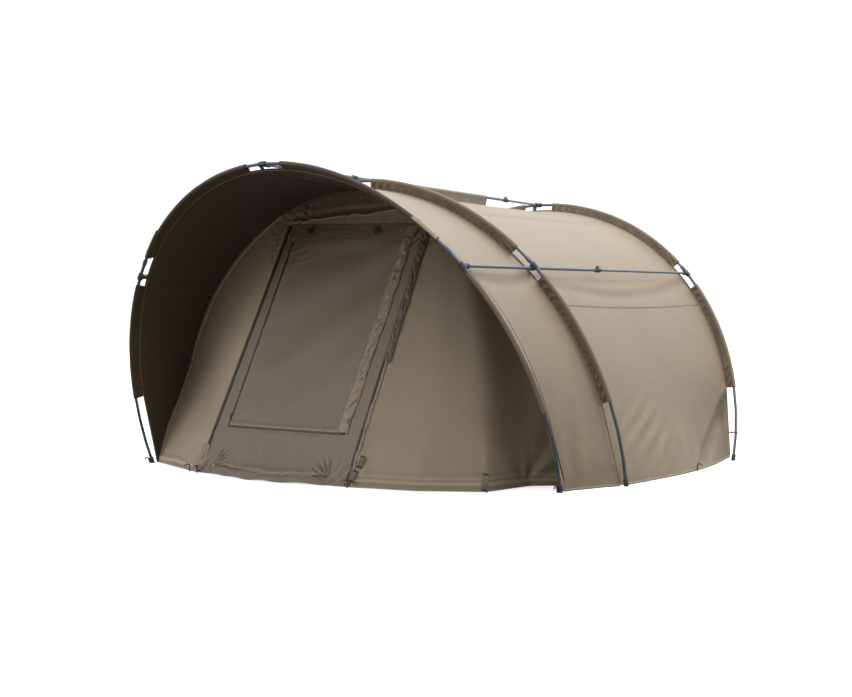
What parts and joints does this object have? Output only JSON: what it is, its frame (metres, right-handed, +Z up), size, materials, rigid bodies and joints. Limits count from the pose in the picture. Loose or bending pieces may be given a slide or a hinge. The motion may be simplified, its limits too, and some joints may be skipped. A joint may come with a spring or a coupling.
{
  "type": "bivvy tent",
  "caption": "Dome shelter on leaning pole hoops, with a hooded porch, a zipped door with a window flap, sleeved poles and telescopic tension bars.",
  "frame": {"origin": "on the ground, under the middle of the tent's bounding box", "axes": "+Z up, -Y towards the door side, +X to the right for someone outside who looks at the door"},
  "size_m": [2.946, 2.8294, 1.5564],
  "materials": {
    "canopy_cloth": "coated woven polyester, light khaki, matt",
    "hood_cloth": "coated woven polyester, light khaki, matt",
    "wall_cloth": "coated woven polyester, brown khaki, matt",
    "door_cloth": "coated woven polyester, brown khaki, matt",
    "sleeve_cloth": "woven polyester, brown, matt",
    "anodised_pole": "gunmetal anodised",
    "anodised_bar": "gunmetal anodised",
    "black_plastic": "black, satin",
    "dark_peg": "dark steel"
  },
  "bodies": {
    "tent": {"front_left_lower_pole": "anodised_pole", "front_left_upper_pole": "anodised_pole", "front_left_foot": "black_plastic", "front_right_lower_pole": "anodised_pole", "front_right_upper_pole": "anodised_pole", "front_right_foot": "black_plastic", "front_left_connector": "black_plastic", "front_right_connector": "black_plastic", "front_top_connector": "black_plastic", "front_sleeve": "sleeve_cloth", "middle_left_lower_pole": "anodised_pole", "middle_left_upper_pole": "anodised_pole", "middle_left_foot": "black_plastic", "middle_right_lower_pole": "anodised_pole", "middle_right_upper_pole": "anodised_pole", "middle_right_foot": "black_plastic", "middle_left_connector": "black_plastic", "middle_right_connector": "black_plastic", "middle_top_connector": "black_plastic", "middle_sleeve": "sleeve_cloth", "rear_left_lower_pole": "anodised_pole", "rear_left_upper_pole": "anodised_pole", "rear_left_foot": "black_plastic", "rear_right_lower_pole": "anodised_pole", "rear_right_upper_pole": "anodised_pole", "rear_right_foot": "black_plastic", "rear_left_connector": "black_plastic", "rear_right_connector": "black_plastic", "rear_top_connector": "black_plastic", "rear_sleeve": "sleeve_cloth", "left_bar_front": "anodised_bar", "right_bar_front": "anodised_bar", "top_bar_front": "anodised_bar", "hood_canopy": "hood_cloth", "main_canopy": "canopy_cloth", "rear_panel": "canopy_cloth", "top_bar_sleeve": "sleeve_cloth", "front_wall": "wall_cloth"},
    "door": {"door_panel": "door_cloth"},
    "window": {"window_flap": "door_cloth"},
    "door_left_slider": {"door_left_slider": "black_plastic"},
    "door_right_slider": {"door_right_slider": "black_plastic"},
    "window_left_slider": {"window_left_slider": "black_plastic"},
    "window_right_slider": {"window_right_slider": "black_plastic"},
    "left_toggle": {"left_toggle": "black_plastic"},
    "right_toggle": {"right_toggle": "black_plastic"},
    "left_bar_rear": {"left_bar_rear": "anodised_bar"},
    "right_bar_rear": {"right_bar_rear": "anodised_bar"},
    "top_bar_rear": {"top_bar_rear": "anodised_bar"},
    "left_bar_collar": {"left_bar_collar": "black_plastic"},
    "right_bar_collar": {"right_bar_collar": "black_plastic"},
    "top_bar_collar": {"top_bar_collar": "black_plastic"},
    "corner_left_peg": {"corner_left_peg": "dark_peg"},
    "corner_right_peg": {"corner_right_peg": "dark_peg"},
    "door_left_peg": {"door_left_peg": "dark_peg"},
    "door_right_peg": {"door_right_peg": "dark_peg"},
    "wall_left_peg": {"wall_left_peg": "dark_peg"},
    "wall_right_peg": {"wall_right_peg": "dark_peg"},
    "side_left_peg": {"side_left_peg": "dark_peg"},
    "side_right_peg": {"side_right_peg": "dark_peg"}
  },
  "joints": [
    {"name": "door_swing", "type": "hinge", "parent": "tent", "child": "door", "pos_m": [0.0279, -0.6889, 1.265], "axis": [-0.9994, 0.0045, 0.0351], "range_deg": [0, 45]},
    {"name": "window_swing", "type": "hinge", "parent": "door", "child": "window", "pos_m": [0.0086, -0.7161, 1.1896], "axis": [-0.9994, 0.0122, 0.0327], "range_deg": [0, 30]},
    {"name": "door_left_zip", "type": "slide", "parent": "tent", "child": "door_left_slider", "axis": [0.2103, 0.2919, 0.933], "range_m": [0, 1.22]},
    {"name": "door_right_zip", "type": "slide", "parent": "tent", "child": "door_right_slider", "axis": [0.096, 0.376, 0.9216], "range_m": [0, 1.2]},
    {"name": "window_left_zip", "type": "slide", "parent": "door", "child": "window_left_slider", "axis": [0.1792, 0.3014, 0.9365], "range_m": [0, 0.87]},
    {"name": "window_right_zip", "type": "slide", "parent": "door", "child": "window_right_slider", "axis": [0.1318, 0.3665, 0.921], "range_m": [0, 0.87]},
    {"name": "left_toggle_swing", "type": "hinge", "parent": "door", "child": "left_toggle", "pos_m": [-0.2448, -0.6986, 1.2567], "axis": [-0.9994, 0.0064, 0.0346], "range_deg": [0, 90]},
    {"name": "right_toggle_swing", "type": "hinge", "parent": "door", "child": "right_toggle", "pos_m": [0.1679, -0.7012, 1.2428], "axis": [-0.9994, 0.0065, 0.0345], "range_deg": [0, 90]},
    {"name": "left_bar_slide", "type": "slide", "parent": "tent", "child": "left_bar_rear", "axis": [0.0401, -0.9988, -0.0281], "range_m": [0, 0.1]},
    {"name": "left_collar_twist", "type": "hinge", "parent": "tent", "child": "left_bar_collar", "pos_m": [-1.0017, 0.0925, 1.0368], "axis": [-0.0401, 0.9988, 0.0281], "range_deg": [0, 90]},
    {"name": "right_bar_slide", "type": "slide", "parent": "tent", "child": "right_bar_rear", "axis": [-0.0401, -0.9988, -0.0281], "range_m": [0, 0.1]},
    {"name": "right_collar_twist", "type": "hinge", "parent": "tent", "child": "right_bar_collar", "pos_m": [1.0017, 0.0925, 1.0368], "axis": [0.0401, 0.9988, 0.0281], "range_deg": [0, 90]},
    {"name": "top_bar_slide", "type": "slide", "parent": "tent", "child": "top_bar_rear", "axis": [0, -0.9998, -0.0211], "range_m": [0, 0.1]},
    {"name": "top_collar_twist", "type": "hinge", "parent": "tent", "child": "top_bar_collar", "pos_m": [0, 0.9561, 1.5334], "axis": [0, 0.9998, 0.0211], "range_deg": [0, 90]},
    {"name": "corner_left_peg_lift", "type": "slide", "parent": "tent", "child": "corner_left_peg", "axis": [-0.0493, -0.3537, 0.9341], "range_m": [0, 0.12]},
    {"name": "corner_right_peg_lift", "type": "slide", "parent": "tent", "child": "corner_right_peg", "axis": [0.0493, -0.3537, 0.9341], "range_m": [0, 0.12]},
    {"name": "door_left_peg_lift", "type": "slide", "parent": "tent", "child": "door_left_peg", "axis": [0, 0, 1], "range_m": [0, 0.2]},
    {"name": "door_right_peg_lift", "type": "slide", "parent": "tent", "child": "door_right_peg", "axis": [0, 0, 1], "range_m": [0, 0.2]},
    {"name": "wall_left_peg_lift", "type": "slide", "parent": "tent", "child": "wall_left_peg", "axis": [0, 0, 1], "range_m": [0, 0.2]},
    {"name": "wall_right_peg_lift", "type": "slide", "parent": "tent", "child": "wall_right_peg", "axis": [0, 0, 1], "range_m": [0, 0.2]},
    {"name": "side_left_peg_lift", "type": "slide", "parent": "tent", "child": "side_left_peg", "axis": [0, 0, 1], "range_m": [0, 0.2]},
    {"name": "side_right_peg_lift", "type": "slide", "parent": "tent", "child": "side_right_peg", "axis": [0, 0, 1], "range_m": [0, 0.2]}
  ]
}
